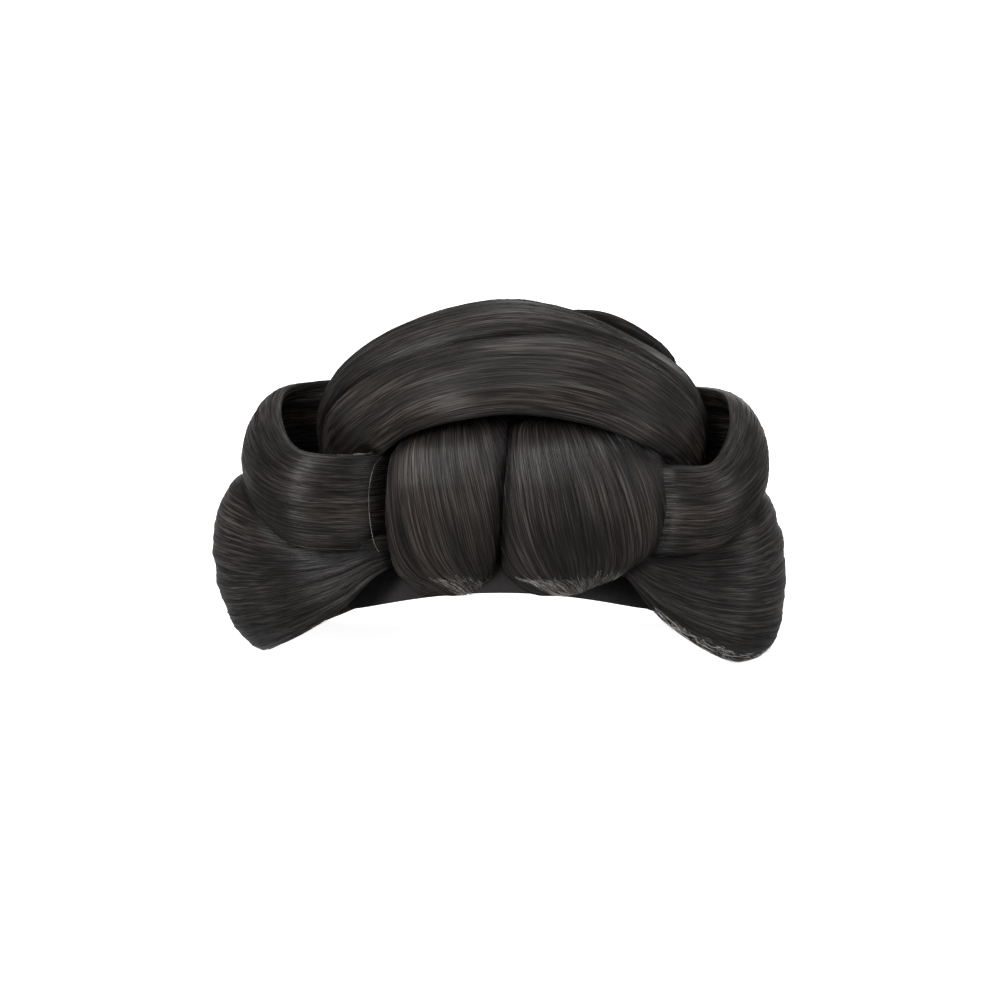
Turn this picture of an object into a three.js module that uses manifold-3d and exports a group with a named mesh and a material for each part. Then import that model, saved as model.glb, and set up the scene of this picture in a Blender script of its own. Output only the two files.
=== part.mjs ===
// A dressed hairpiece in the shape of a bow: two padded buns side by side, three rolls of hair that arch over
// them, a loop of hair and below it a fanned wing at either side, whose bands meet at the middle of the back,
// and the domed cap that all of them are sewn to, with one plain comb under it.
// Millimetres, +Z up, +X to the right seen from the front, +Y to the back. It stands on its wings and on the
// back of the cap, and the origin is on the table under the middle of the piece.
import * as THREE from "three";
import { mergeVertices } from "three/addons/utils/BufferGeometryUtils.js";
import Module from "manifold-3d";

const wasm = await Module();
wasm.setup();

// Clearance between two pieces that are sewn or pinned together
const seatGap = 0.3;

// The cap: the top of a hollow egg over the crown of the head. Its rim arches from side to side and falls
// a little from the front to the back.
const capHalfWidth = 71;
const capHalfDepth = 52;
const capHeight = 64.5;
const capWall = 3;
const capBack = 8;
const capFrontRim = 38;
const capRimRadius = 175;
const capRimFall = 7.5;

// The comb under the cap
const combWidth = 52;
const combToothPitch = 5.2;
const combToothThick = 1.8;
const combSpineThick = 3.2;
const combSpineLean = 10;
const combToothLean = 42;

// How far the buns and the rolls sit behind the middle of the loops
const headBack = 6;

// The two buns, either side of a parting that leans to the right
const partingFoot = -1.5;
const partingTop = 4;
const leftBunWidth = 50;
const rightBunWidth = 71;
const bunHeight = 75;
const bunDepth = 50;
const bunDrop = 1.5;

// The rolls, from the crest down to their feet in the loops
const crestX = 5.2;
const rollReach = 83.5;
const rollRise = 45;
const rollDepth = 44;
const frontRollSkew = 2.6;
const crownRollSkew = -1.5;
const backRollSkew = 3;
const frontRollThick = 17;
const crownRollThick = 20;
const backRollThick = 14;

// The padding that the crown roll is wound over: its half sizes, how far back its middle sits, and where its
// top comes in the rise of the rolls
const padHalfWidth = 58;
const padHalfDepth = 25;
const padHeight = 60;
const padBack = 21;
const padRise = 0.72;

// The upper loops
const hairWall = 3.6;
const loopBelly = 13;
const loopFront = 32;
const loopRear = 53;
const leftLoop = { side: -1, reach: 111, frontRim: 96.5, rearRim: 114, frontFoot: 56, bendFoot: 71 };
const rightLoop = { side: 1, reach: 116.5, frontRim: 90, rearRim: 112, frontFoot: 54.5, bendFoot: 73 };

// The lower wings
const wingReach = 125;
const wingBelly = 19;
const wingTuck = 20;
const wingFront = capHalfDepth - wingTuck;
const wingRear = capBack + capHalfDepth - capWall;
const wingPinchFoot = 47;
const wingPinchTop = 60;
const wingShoulder = 76;
const wingPleatShare = 0.75;
const wingPleats = 4;

// How finely the bands are divided
const rollSteps = 8;
const bunSteps = 10;
const loopSteps = 9;
const wingSteps = 12;
const rodSteps = 3;
const sectionsPerRow = 2;

// One row for each section of a bun, from its underside to its top. left and right are how far the left and
// the right bun reach out from the parting, and part how far their other side stays off it, as shares of
// their width; front and back are shares of their depth.
const bunSections = [
  { up: 0.0, left: 0.6, right: 0.44, part: 0.22, front: 0.74, back: 0.52 },
  { up: 0.03, left: 0.74, right: 0.58, part: 0.12, front: 0.86, back: 0.4 },
  { up: 0.1, left: 0.85, right: 0.74, part: 0.04, front: 0.94, back: 0.28 },
  { up: 0.24, left: 0.94, right: 0.93, part: -0.01, front: 0.99, back: 0.2 },
  { up: 0.44, left: 0.99, right: 1.01, part: -0.05, front: 1.0, back: 0.18 },
  { up: 0.64, left: 1.0, right: 0.99, part: -0.05, front: 0.95, back: 0.18 },
  { up: 0.82, left: 0.96, right: 0.92, part: -0.04, front: 0.84, back: 0.2 },
  { up: 0.95, left: 0.84, right: 0.78, part: 0.02, front: 0.68, back: 0.24 },
  { up: 1.0, left: 0.66, right: 0.6, part: 0.16, front: 0.55, back: 0.32 },
];

// The rolls' sections run from the crest to the foot, and both halves of a roll share them. Each row gives
// the roll's lower and upper edge: out is a share of the reach, deep of rollDepth (minus is the front), and
// up of rollRise above the buns. swell is the belly between the edges as a share of the roll's thickness.
const frontRollSections = [
  { lowOut: 0.0, lowDeep: -1.0, lowUp: 0.125, highOut: 0.0, highDeep: -0.22, highUp: 0.64, swell: 0.1, thick: 1.0 },
  { lowOut: 0.26, lowDeep: -1.0, lowUp: 0.07, highOut: 0.26, highDeep: -0.22, highUp: 0.62, swell: 0.1, thick: 1.0 },
  { lowOut: 0.48, lowDeep: -0.93, lowUp: -0.06, highOut: 0.48, highDeep: -0.2, highUp: 0.53, swell: 0.1, thick: 0.97 },
  { lowOut: 0.64, lowDeep: -0.8, lowUp: -0.21, highOut: 0.67, highDeep: -0.14, highUp: 0.38, swell: 0.1, thick: 0.9 },
  { lowOut: 0.78, lowDeep: -0.64, lowUp: -0.41, highOut: 0.83, highDeep: -0.06, highUp: 0.17, swell: 0.08, thick: 0.8 },
  { lowOut: 0.88, lowDeep: -0.47, lowUp: -0.6, highOut: 0.94, highDeep: 0.02, highUp: -0.06, swell: 0.05, thick: 0.66 },
  { lowOut: 0.93, lowDeep: -0.33, lowUp: -0.78, highOut: 0.98, highDeep: 0.06, highUp: -0.36, swell: 0, thick: 0.5 },
];
const crownRollSections = [
  { lowOut: 0.0, lowDeep: -0.23, lowUp: 0.67, highOut: 0.0, highDeep: 0.68, highUp: 0.71, swell: 0.15, thick: 1.0 },
  { lowOut: 0.29, lowDeep: -0.23, lowUp: 0.59, highOut: 0.29, highDeep: 0.7, highUp: 0.63, swell: 0.15, thick: 1.0 },
  { lowOut: 0.49, lowDeep: -0.2, lowUp: 0.46, highOut: 0.49, highDeep: 0.72, highUp: 0.5, swell: 0.15, thick: 1.0 },
  { lowOut: 0.67, lowDeep: -0.16, lowUp: 0.3, highOut: 0.67, highDeep: 0.72, highUp: 0.34, swell: 0.12, thick: 1.0 },
  { lowOut: 0.82, lowDeep: -0.09, lowUp: 0.08, highOut: 0.82, highDeep: 0.7, highUp: 0.12, swell: 0.1, thick: 0.95 },
  { lowOut: 0.92, lowDeep: 0.0, lowUp: -0.2, highOut: 0.92, highDeep: 0.62, highUp: -0.16, swell: 0.05, thick: 0.8 },
  { lowOut: 0.96, lowDeep: 0.05, lowUp: -0.56, highOut: 0.95, highDeep: 0.5, highUp: -0.54, swell: 0, thick: 0.55 },
];
const backRollSections = [
  { lowOut: 0.0, lowDeep: 1.02, lowUp: -0.2, highOut: 0.0, highDeep: 0.6, highUp: 0.79, swell: 0.3, thick: 1.0 },
  { lowOut: 0.27, lowDeep: 1.0, lowUp: -0.2, highOut: 0.3, highDeep: 0.6, highUp: 0.77, swell: 0.3, thick: 1.0 },
  { lowOut: 0.48, lowDeep: 0.96, lowUp: -0.24, highOut: 0.51, highDeep: 0.6, highUp: 0.69, swell: 0.28, thick: 1.0 },
  { lowOut: 0.66, lowDeep: 0.88, lowUp: -0.34, highOut: 0.69, highDeep: 0.6, highUp: 0.53, swell: 0.24, thick: 0.95 },
  { lowOut: 0.79, lowDeep: 0.78, lowUp: -0.5, highOut: 0.84, highDeep: 0.58, highUp: 0.28, swell: 0.18, thick: 0.85 },
  { lowOut: 0.87, lowDeep: 0.66, lowUp: -0.68, highOut: 0.93, highDeep: 0.52, highUp: -0.06, swell: 0.1, thick: 0.7 },
  { lowOut: 0.91, lowDeep: 0.56, lowUp: -0.84, highOut: 0.96, highDeep: 0.44, highUp: -0.46, swell: 0, thick: 0.5 },
];

// The loops' sections run from behind the bun, round the outer bend, to the middle of the back. out is a
// share of the reach, deep of loopFront or loopRear, lift of the way from the foot at the front to the foot
// at the bend, rise of the way from the rim at the front to the rim at the rear, and belly of loopBelly.
const loopSections = [
  { lowOut: 0.3, lowDeep: -0.3, highOut: 0.3, highDeep: -0.22, lift: -0.45, rise: 0.0, belly: 0.0 },
  { lowOut: 0.46, lowDeep: -0.76, highOut: 0.46, highDeep: -0.66, lift: -0.2, rise: 0.0, belly: 0.15 },
  { lowOut: 0.62, lowDeep: -0.97, highOut: 0.61, highDeep: -0.88, lift: 0.0, rise: 0.0, belly: 0.3 },
  { lowOut: 0.78, lowDeep: -0.88, highOut: 0.75, highDeep: -0.8, lift: 0.15, rise: 0.06, belly: 0.55 },
  { lowOut: 0.87, lowDeep: -0.46, highOut: 0.82, highDeep: -0.4, lift: 0.55, rise: 0.3, belly: 0.9 },
  { lowOut: 0.9, lowDeep: 0.05, highOut: 0.855, highDeep: 0.06, lift: 0.9, rise: 0.72, belly: 1.0 },
  { lowOut: 0.86, lowDeep: 0.4, highOut: 0.84, highDeep: 0.38, lift: 1.0, rise: 1.0, belly: 1.0 },
  { lowOut: 0.73, lowDeep: 0.68, highOut: 0.72, highDeep: 0.66, lift: 0.9, rise: 1.0, belly: 0.65 },
  { lowOut: 0.55, lowDeep: 0.86, highOut: 0.55, highDeep: 0.83, lift: 0.7, rise: 0.93, belly: 0.35 },
  { lowOut: 0.3, lowDeep: 0.97, highOut: 0.3, highDeep: 0.94, lift: 0.5, rise: 0.8, belly: 0.15 },
  { lowOut: -0.02, lowDeep: 1.0, highOut: -0.02, highDeep: 0.97, lift: 0.4, rise: 0.7, belly: 0.05 },
];

// The wings' sections run the same way. foot is a share of wingPinchFoot above the table, rise of the way
// from wingPinchTop to wingShoulder, deep of wingFront or wingRear, and belly of wingBelly.
const wingBackSections = [
  { lowOut: 0.5, lowDeep: 0.9, highOut: 0.5, highDeep: 0.78, foot: 0.13, rise: 0.5, belly: 0.25 },
  { lowOut: 0.27, lowDeep: 0.98, highOut: 0.27, highDeep: 0.86, foot: 0.25, rise: 0.3, belly: 0.12 },
  { lowOut: -0.02, lowDeep: 1.0, highOut: -0.02, highDeep: 0.88, foot: 0.3, rise: 0.2, belly: 0.06 },
];
const leftWingSections = [
  { lowOut: 0.26, lowDeep: -0.5, highOut: 0.26, highDeep: -0.42, foot: 1.0, rise: 0.0, belly: 0.0 },
  { lowOut: 0.4, lowDeep: -0.92, highOut: 0.39, highDeep: -0.8, foot: 1.0, rise: 0.05, belly: 0.1 },
  { lowOut: 0.53, lowDeep: -1.0, highOut: 0.53, highDeep: -0.75, foot: 0.68, rise: 0.15, belly: 0.25 },
  { lowOut: 0.67, lowDeep: -0.85, highOut: 0.68, highDeep: -0.55, foot: 0.4, rise: 0.3, belly: 0.45 },
  { lowOut: 0.77, lowDeep: -0.3, highOut: 0.82, highDeep: -0.28, foot: 0.1, rise: 0.75, belly: 0.68 },
  { lowOut: 0.82, lowDeep: 0.16, highOut: 0.88, highDeep: 0.05, foot: -0.03, rise: 1.08, belly: 0.95 },
  { lowOut: 0.8, lowDeep: 0.48, highOut: 0.85, highDeep: 0.36, foot: -0.03, rise: 1.08, belly: 0.85 },
  { lowOut: 0.69, lowDeep: 0.74, highOut: 0.7, highDeep: 0.62, foot: -0.02, rise: 0.8, belly: 0.55 },
  ...wingBackSections,
];
const rightWingSections = [
  { lowOut: 0.26, lowDeep: -0.5, highOut: 0.26, highDeep: -0.42, foot: 1.0, rise: 0.0, belly: 0.0 },
  { lowOut: 0.4, lowDeep: -0.92, highOut: 0.39, highDeep: -0.8, foot: 1.0, rise: 0.05, belly: 0.1 },
  { lowOut: 0.53, lowDeep: -0.95, highOut: 0.53, highDeep: -0.75, foot: 0.6, rise: 0.15, belly: 0.22 },
  { lowOut: 0.69, lowDeep: -0.82, highOut: 0.68, highDeep: -0.55, foot: 0.25, rise: 0.3, belly: 0.4 },
  { lowOut: 0.81, lowDeep: -0.5, highOut: 0.82, highDeep: -0.28, foot: 0.05, rise: 0.7, belly: 0.65 },
  { lowOut: 0.885, lowDeep: -0.05, highOut: 0.85, highDeep: 0.05, foot: -0.03, rise: 1.0, belly: 0.82 },
  { lowOut: 0.84, lowDeep: 0.42, highOut: 0.83, highDeep: 0.36, foot: -0.03, rise: 1.0, belly: 0.82 },
  { lowOut: 0.72, lowDeep: 0.72, highOut: 0.7, highDeep: 0.62, foot: -0.02, rise: 0.8, belly: 0.5 },
  ...wingBackSections,
];

const bunFoot = capFrontRim - bunDrop;
const bunTop = bunFoot + bunHeight;
const capCentre = new THREE.Vector3(0, capBack, 0);

// Turns a closed geometry into a solid that can be joined and cut.
function solidOf(geometry) {
  const bare = geometry.clone();
  bare.deleteAttribute("normal");
  bare.deleteAttribute("uv");
  const merged = mergeVertices(bare, 1e-4);
  return new wasm.Manifold(
    new wasm.Mesh({
      numProp: 3,
      vertProperties: merged.attributes.position.array,
      triVerts: new Uint32Array(merged.index.array),
    }),
  );
}

// Turns a solid back into a geometry.
function geometryOf(solid) {
  const { numProp, vertProperties, triVerts } = solid.getMesh();
  const position = new Float32Array((vertProperties.length / numProp) * 3);
  for (let i = 0; i < position.length / 3; i++) {
    position.set(vertProperties.subarray(i * numProp, i * numProp + 3), i * 3);
  }
  const geometry = new THREE.BufferGeometry();
  geometry.setAttribute("position", new THREE.BufferAttribute(position, 3));
  geometry.setIndex(new THREE.BufferAttribute(triVerts, 1));
  geometry.computeVertexNormals();
  return geometry;
}

// The largest body of a solid, without the crumbs that a cut can leave.
function mainBody(solid) {
  return solid.decompose().reduce((largest, body) => (body.volume() > largest.volume() ? body : largest));
}

function cutBy(solid, cutters) {
  return mainBody(cutters.reduce((left, cutter) => left.subtract(cutter), solid));
}

// One ring of a band's skin: along the outer face from the low edge to the high edge, and back inside. The
// middle of the band is half an ellipse over the line from edge to edge. grow moves the skin out by that.
function ringOf(low, high, outward, belly, thick, look, grow) {
  const outer = [];
  const inner = [];
  const across = high.clone().sub(low);
  const halfSpan = across.length() / 2;
  across.normalize();
  const tuck = grow * Math.min(3, (5 * belly) / halfSpan);
  for (let i = 0; i <= look.steps; i++) {
    const turn = (Math.PI * i) / look.steps;
    const [c, s] = [Math.cos(turn), Math.sin(turn)];
    const normal = new THREE.Vector2(-belly * c, halfSpan * s).normalize();
    const half = (thick / 2) * (1 - Math.abs(c) ** look.squareness) ** (1 / look.squareness);
    const pleat = look.pleatShare ? (look.pleatShare * (1 - Math.cos(look.pleats * Math.PI * (1 - c)))) / 2 : 0;
    const place = (along, out) =>
      low
        .clone()
        .addScaledVector(across, halfSpan * (1 - c) + along)
        .addScaledVector(outward, belly * s + out);
    if (i === 0 || i === look.steps) {
      outer.push(place(-grow * Math.sign(c), -tuck));
    } else {
      const [above, under] = [half * (1 - pleat) + grow, -half - grow];
      outer.push(place(normal.x * above, normal.y * above));
      inner.push(place(normal.x * under, normal.y * under));
    }
  }
  return [...outer, ...inner.reverse()];
}

// Closes a row of rings, each of 2 * steps points, into a solid.
function skinOf(rings, steps) {
  const count = 2 * steps;
  const triangles = [];
  for (let r = 0; r + 1 < rings.length; r++) {
    for (let i = 0; i < count; i++) {
      const a = r * count + i;
      const b = r * count + ((i + 1) % count);
      triangles.push(a, b, a + count, b, b + count, a + count);
    }
  }
  const cap = (start, flip) => {
    for (let i = 0; i < steps; i++) {
      const [a, b] = [start + i, start + i + 1];
      const [c, d] = [start + ((count - i) % count), start + ((count - i - 1) % count)];
      const faces = i === 0 ? [[a, d, b]] : i === steps - 1 ? [[a, c, b]] : [[a, c, b], [c, d, b]];
      faces.forEach(([p, q, s]) => triangles.push(...(flip ? [p, s, q] : [p, q, s])));
    }
  };
  cap(0, false);
  cap((rings.length - 1) * count, true);
  const geometry = new THREE.BufferGeometry();
  geometry.setAttribute("position", new THREE.Float32BufferAttribute(rings.flat().flatMap((p) => p.toArray()), 3));
  geometry.setIndex(triangles);
  const solid = solidOf(geometry);
  if (solid.volume() > 0) return solid;
  geometry.setIndex(triangles.map((_, i) => triangles[i - (i % 3) + 2 - (i % 3)]));
  return solidOf(geometry);
}

// A band of hair lofted through sections. Each section has a low and a high edge, a belly and a thickness.
// facing is 1 or -1 and says which face of the band looks outward, and grow makes every side larger by that.
function bandOf(sections, look, grow = 0) {
  const lows = new THREE.CatmullRomCurve3(sections.map((s) => s.low));
  const highs = new THREE.CatmullRomCurve3(sections.map((s) => s.high));
  const bodies = new THREE.CatmullRomCurve3(sections.map((s) => new THREE.Vector3(s.belly, s.thick, 0)));
  const last = (sections.length - 1) * sectionsPerRow;
  const rings = [];
  for (let i = 0; i <= last; i++) {
    const t = i / last;
    const low = lows.getPoint(t);
    const high = highs.getPoint(t);
    const body = bodies.getPoint(t);
    const along = lows.getTangent(t).add(highs.getTangent(t)).normalize();
    const across = high.clone().sub(low).normalize();
    const outward = across.clone().cross(along).normalize().multiplyScalar(look.facing);
    const endShift = i === 0 ? -grow : i === last ? grow : 0;
    low.addScaledVector(along, endShift);
    high.addScaledVector(along, endShift);
    rings.push(ringOf(low, high, outward, body.x, body.y, look, grow));
  }
  return skinOf(rings, look.steps);
}

function ellipsoidOf(centre, halfWidth, halfDepth, height) {
  const ball = new THREE.SphereGeometry(1, 24, 14);
  ball.rotateX(Math.PI / 2);
  ball.scale(halfWidth, halfDepth, height);
  ball.translate(centre.x, centre.y, centre.z);
  return solidOf(ball);
}

// Everything below the cap's rim: a wide drum along the head, tipped down at the back.
function belowRim() {
  const frontY = capBack - capHalfDepth * Math.sqrt(1 - (capFrontRim / capHeight) ** 2);
  const drum = new THREE.CylinderGeometry(capRimRadius, capRimRadius, 6 * capHalfDepth, 96);
  drum.translate(0, 0, -capRimRadius);
  drum.rotateX(-THREE.MathUtils.degToRad(capRimFall));
  drum.translate(0, frontY, capFrontRim);
  return solidOf(drum);
}

// The cap as a filled dome, larger all round by grow, to keep other pieces off it.
function filledCap(grow) {
  return ellipsoidOf(capCentre, capHalfWidth + grow, capHalfDepth + grow, capHeight + grow);
}

function capOf() {
  const hollow = filledCap(-capWall);
  return mainBody(filledCap(0).subtract(hollow).subtract(belowRim()));
}

// A point under the cap at a distance x from its middle, leaning forward from the top by an angle in degrees.
function underCap(x, lean, depth) {
  const a = capHalfWidth - capWall - depth;
  const rest = Math.sqrt(1 - (x / a) ** 2);
  const angle = THREE.MathUtils.degToRad(lean);
  const y = capCentre.y - (capHalfDepth - capWall - depth) * rest * Math.sin(angle);
  const z = (capHeight - capWall - depth) * rest * Math.cos(angle);
  return new THREE.Vector3(x, y, z);
}

// A thin bar that follows the points.
function rodOf(points, thick) {
  const half = new THREE.Vector3(thick / 2, 0, 0);
  const spread = new THREE.Vector3(0, thick / 2, 0);
  const side = Math.abs(points[0].x - points[points.length - 1].x) > thick ? spread : half;
  const sections = points.map((p) => ({
    low: p.clone().sub(side),
    high: p.clone().add(side),
    belly: 0,
    thick,
  }));
  return bandOf(sections, { squareness: 2, facing: 1, steps: rodSteps });
}

function combOf() {
  const depth = seatGap + combSpineThick / 2;
  const spineSteps = 5;
  const spine = Array.from({ length: spineSteps }, (_, i) =>
    underCap(combWidth * (i / (spineSteps - 1) - 0.5), combSpineLean, depth),
  );
  let comb = rodOf(spine, combSpineThick);
  const gaps = Math.floor((combWidth - combToothThick) / combToothPitch / 2);
  for (let i = -gaps; i <= gaps; i++) {
    const tooth = [0, 0.5, 1].map((share) =>
      underCap(i * combToothPitch, combSpineLean + share * (combToothLean - combSpineLean), depth),
    );
    comb = comb.add(rodOf(tooth, combToothThick));
  }
  return mainBody(comb);
}

function bunOf(side, width, grow = 0) {
  const sections = bunSections.map((row) => {
    const parting = partingFoot + (partingTop - partingFoot) * row.up;
    const reach = side < 0 ? row.left : row.right;
    const middle = headBack - (bunDepth * (row.front + row.back)) / 2;
    const z = bunFoot + bunHeight * row.up;
    return {
      low: new THREE.Vector3(parting + side * width * reach, middle, z),
      high: new THREE.Vector3(parting + side * width * row.part, middle, z),
      belly: 0,
      thick: bunDepth * (row.front - row.back),
    };
  });
  return bandOf(sections, { squareness: 2.6, facing: -side, steps: bunSteps }, grow);
}

// Both halves of a roll, from its left foot over the crest to its right foot. skew raises the upper edge
// over the right shoulder and lowers it over the left one.
function rollSections(rows, thick, skew) {
  const place = (side, out, deep, up, lift) =>
    new THREE.Vector3(
      crestX + side * rollReach * out,
      headBack + rollDepth * deep,
      bunTop + rollRise * up + side * lift,
    );
  const half = (side) =>
    rows.map((row) => ({
      low: place(side, row.lowOut, row.lowDeep, row.lowUp, 0),
      high: place(side, row.highOut, row.highDeep, row.highUp, skew * 4 * row.highOut * (1 - row.highOut)),
      belly: thick * row.swell,
      thick: thick * row.thick,
    }));
  return [...half(-1).reverse(), ...half(1).slice(1)];
}

function rollOf(rows, thick, skew, grow = 0) {
  return bandOf(rollSections(rows, thick, skew), { squareness: 2.3, facing: -1, steps: rollSteps }, grow);
}

function padOf(grow = 0) {
  const centre = new THREE.Vector3(crestX / 2, padBack, bunTop + rollRise * padRise - padHeight);
  return ellipsoidOf(centre, padHalfWidth + grow, padHalfDepth + grow, padHeight + grow);
}

function loopOf({ side, reach, frontRim, rearRim, frontFoot, bendFoot }, grow = 0) {
  const sections = loopSections.map((row) => {
    const depth = (deep) => deep * (deep < 0 ? loopFront : loopRear);
    const top = frontRim + (rearRim - frontRim) * row.rise;
    const foot = frontFoot + (bendFoot - frontFoot) * row.lift;
    return {
      low: new THREE.Vector3(side * reach * row.lowOut, depth(row.lowDeep), foot),
      high: new THREE.Vector3(side * reach * row.highOut, depth(row.highDeep), top),
      belly: loopBelly * row.belly,
      thick: hairWall,
    };
  });
  return bandOf(sections, { squareness: 6, facing: -side, steps: loopSteps }, grow);
}

function wingOf(side, rows, grow = 0) {
  const sections = rows.map((row) => {
    const depth = (deep) => deep * (deep < 0 ? wingFront : wingRear);
    const top = wingPinchTop + (wingShoulder - wingPinchTop) * row.rise;
    return {
      low: new THREE.Vector3(side * wingReach * row.lowOut, depth(row.lowDeep), wingPinchFoot * row.foot),
      high: new THREE.Vector3(side * wingReach * row.highOut, depth(row.highDeep), top),
      belly: wingBelly * row.belly,
      thick: hairWall,
    };
  });
  const pleatShare = grow ? 0 : wingPleatShare;
  const look = { squareness: 6, facing: -side, steps: wingSteps, pleats: wingPleats, pleatShare };
  return bandOf(sections, look, grow);
}

// Everything below the table.
function belowTable() {
  const size = 6 * wingReach;
  const block = new THREE.BoxGeometry(size, size, size);
  block.translate(0, 0, -size / 2);
  return solidOf(block);
}

const hair = new THREE.MeshStandardMaterial({ color: 0x2b2726, roughness: 0.45, metalness: 0 });
const darkHair = new THREE.MeshStandardMaterial({ color: 0x242120, roughness: 0.5, metalness: 0 });
const capNet = new THREE.MeshStandardMaterial({ color: 0x1f1d1e, roughness: 0.85, metalness: 0 });
const combPlastic = new THREE.MeshStandardMaterial({ color: 0x171515, roughness: 0.35, metalness: 0 });

const piece = new THREE.Group();
function addPiece(name, solid, material) {
  const mesh = new THREE.Mesh(geometryOf(solid), material);
  mesh.name = name;
  piece.add(mesh);
}

const table = belowTable();
const capSolid = filledCap(seatGap);
addPiece("cap", capOf(), capNet);
addPiece("comb", combOf(), combPlastic);

const leftBun = cutBy(bunOf(-1, leftBunWidth), [capSolid]);
const leftBunCutter = bunOf(-1, leftBunWidth, seatGap);
addPiece("bun_left", leftBun, hair);
const rightBun = cutBy(bunOf(1, rightBunWidth), [capSolid, leftBunCutter]);
addPiece("bun_right", rightBun, hair);
const buns = [leftBunCutter, bunOf(1, rightBunWidth, seatGap)];

const leftLoopCutter = loopOf(leftLoop, seatGap);
addPiece("loop_left", cutBy(loopOf(leftLoop), [capSolid, ...buns]), hair);
addPiece("loop_right", cutBy(loopOf(rightLoop), [capSolid, ...buns, leftLoopCutter]), hair);
const loops = [leftLoopCutter, loopOf(rightLoop, seatGap)];

const aboveWings = [capSolid, ...buns, ...loops];
const leftWingCutter = wingOf(-1, leftWingSections, seatGap);
addPiece("wing_left", cutBy(wingOf(-1, leftWingSections), [...aboveWings, table]), darkHair);
const rightWing = cutBy(wingOf(1, rightWingSections), [...aboveWings, table, leftWingCutter]);
addPiece("wing_right", rightWing, darkHair);
const wings = [leftWingCutter, wingOf(1, rightWingSections, seatGap)];

const below = [...aboveWings, ...wings];
const crown = rollOf(crownRollSections, crownRollThick, crownRollSkew).add(padOf());
addPiece("crown_roll", cutBy(crown, below), hair);
const crownCutter = rollOf(crownRollSections, crownRollThick, crownRollSkew, seatGap).add(padOf(seatGap));
const frontRoll = rollOf(frontRollSections, frontRollThick, frontRollSkew);
addPiece("front_roll", cutBy(frontRoll, [...below, crownCutter]), hair);
const frontCutter = rollOf(frontRollSections, frontRollThick, frontRollSkew, seatGap);
const backRoll = rollOf(backRollSections, backRollThick, backRollSkew);
addPiece("back_roll", cutBy(backRoll, [...below, crownCutter, frontCutter]), darkHair);

const bounds = new THREE.Box3().setFromObject(piece);
const middle = bounds.getCenter(new THREE.Vector3());
piece.position.set(-middle.x, -middle.y, -bounds.min.z);

export default piece;
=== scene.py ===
"""The looks of the bow-shaped hairpiece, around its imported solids. Lengths in the tables are millimetres."""
import math

import bpy
import numpy as np
from mathutils import Matrix, Vector
from mathutils.kdtree import KDTree


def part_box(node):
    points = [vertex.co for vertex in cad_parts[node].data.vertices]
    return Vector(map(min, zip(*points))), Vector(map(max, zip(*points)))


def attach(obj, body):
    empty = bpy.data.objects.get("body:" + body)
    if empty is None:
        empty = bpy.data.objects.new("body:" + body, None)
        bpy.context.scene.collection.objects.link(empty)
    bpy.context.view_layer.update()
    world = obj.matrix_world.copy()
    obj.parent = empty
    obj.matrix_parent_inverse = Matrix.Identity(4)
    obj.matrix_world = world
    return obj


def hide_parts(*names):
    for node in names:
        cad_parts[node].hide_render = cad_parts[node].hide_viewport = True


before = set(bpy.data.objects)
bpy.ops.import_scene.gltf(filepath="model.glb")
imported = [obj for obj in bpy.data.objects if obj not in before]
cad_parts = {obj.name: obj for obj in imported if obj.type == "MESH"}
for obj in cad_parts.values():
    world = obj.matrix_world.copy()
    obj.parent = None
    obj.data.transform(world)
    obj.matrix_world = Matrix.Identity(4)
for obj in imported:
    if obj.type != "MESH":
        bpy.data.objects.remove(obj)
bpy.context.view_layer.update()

MM = 0.001
chance = np.random.default_rng(41)

# Where the camera stands, as the photograph was taken: in front, a little above
VIEW_RISE = math.radians(15)
VIEW_DISTANCE = 1.03
VIEW_LENS = 85.14
VIEW_AIM = (0.0, -1.27, 70.25)

# The soft lights: place in metres, width and power
LIGHTS = {
    "key": ((-0.95, -1.65, 1.2), 0.9, 44),
    "fill": ((1.5, -1.0, 0.7), 1.0, 13),
    "top": ((0.1, 0.25, 1.9), 1.1, 12),
    "rear": ((0.5, 1.9, 0.8), 1.2, 7),
}
SKY_STRENGTH = 0.43

# The hairpiece's own sizes, the same as in its source
CAP_HALF_WIDTH, CAP_HALF_DEPTH, CAP_HEIGHT = 71.0, 52.0, 64.5
CAP_WALL, CAP_BACK, CAP_FRONT_RIM = 3.0, 8.0, 38.0
CAP_RIM_RADIUS, CAP_RIM_FALL = 175.0, math.radians(7.5)
SEAT_GAP = 0.3
COMB_WIDTH, COMB_PITCH, TOOTH_THICK, SPINE_THICK = 52.0, 5.2, 1.8, 3.2
SPINE_LEAN, TOOTH_LEAN = 10.0, 42.0
HEAD_BACK = 6.0
PARTING_FOOT, PARTING_TOP = -1.5, 4.0
BUN_FOOT, BUN_HEIGHT, BUN_DEPTH = 36.5, 75.0, 50.0
BUN_TOP = BUN_FOOT + BUN_HEIGHT
CREST_X, ROLL_REACH, ROLL_RISE, ROLL_DEPTH = 5.2, 83.5, 45.0, 44.0
PAD_HALF = (58.0, 25.0, 60.0)
PAD_CENTRE = (CREST_X / 2, 21.0, BUN_TOP + 0.72 * ROLL_RISE - 60.0)
HAIR_WALL = 3.6
LOOP_BELLY, LOOP_FRONT, LOOP_REAR = 13.0, 32.0, 53.0
WING_REACH, WING_BELLY, WING_FRONT, WING_REAR = 125.0, 19.0, 32.0, 57.0
WING_PINCH_FOOT, WING_PINCH_TOP, WING_SHOULDER = 47.0, 60.0, 76.0

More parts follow.
